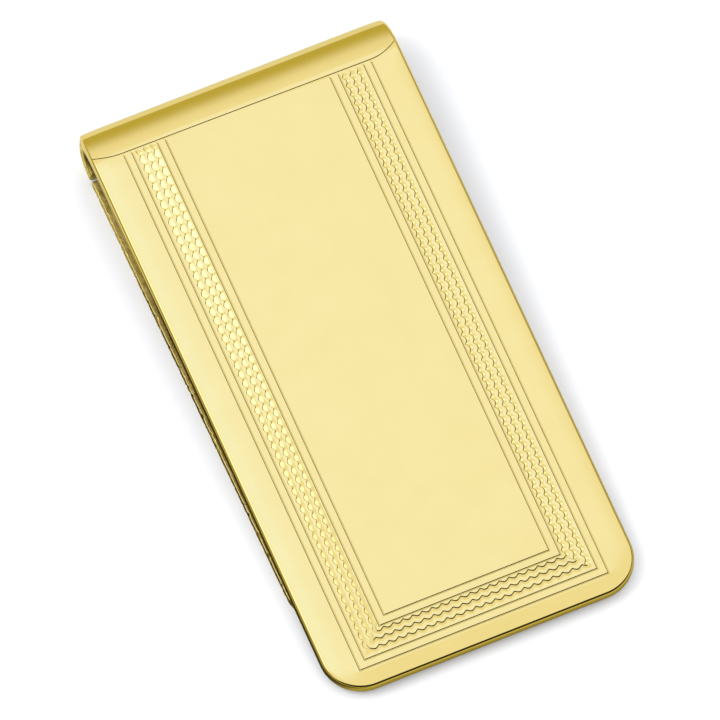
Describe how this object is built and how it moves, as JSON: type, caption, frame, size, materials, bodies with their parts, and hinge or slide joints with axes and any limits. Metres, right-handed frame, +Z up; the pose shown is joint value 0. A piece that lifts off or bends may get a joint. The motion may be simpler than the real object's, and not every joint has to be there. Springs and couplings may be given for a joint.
{
  "type": "money clip",
  "caption": "Flat hinged money clip: an engraved front plate with a rolled head and a sprung back leaf that clamps folded notes.",
  "frame": {"origin": "centre of the clip's box, on the surface that the back leaf lies on", "axes": "+X across the clip, +Y towards the rolled head, +Z up through the engraved face"},
  "size_m": [0.0254, 0.0504, 0.0043],
  "materials": {
    "polished_gold": "mirror-polished yellow gold plate",
    "plated_hinge": "satin gold plate",
    "brass_wire": "drawn brass",
    "spring_steel": "tempered strip"
  },
  "bodies": {
    "root": {"front_plate": "polished_gold", "hinge_bracket": "plated_hinge", "hinge_pin": "brass_wire", "pressure_spring": "spring_steel", "spring_rivet_left": "brass_wire", "spring_rivet_right": "brass_wire"},
    "leaf": {"back_leaf": "polished_gold", "leaf_knuckle": "plated_hinge"}
  },
  "joints": [
    {"name": "leaf_hinge", "type": "hinge", "parent": "root", "child": "leaf", "pos_m": [0, 0.02018, 0.0015], "axis": [1, 0, 0], "range_deg": [0, 45], "stiffness_Nm_per_rad": 0.1, "springref_deg": -11.46, "deforming": ["pressure_spring"]}
  ]
}
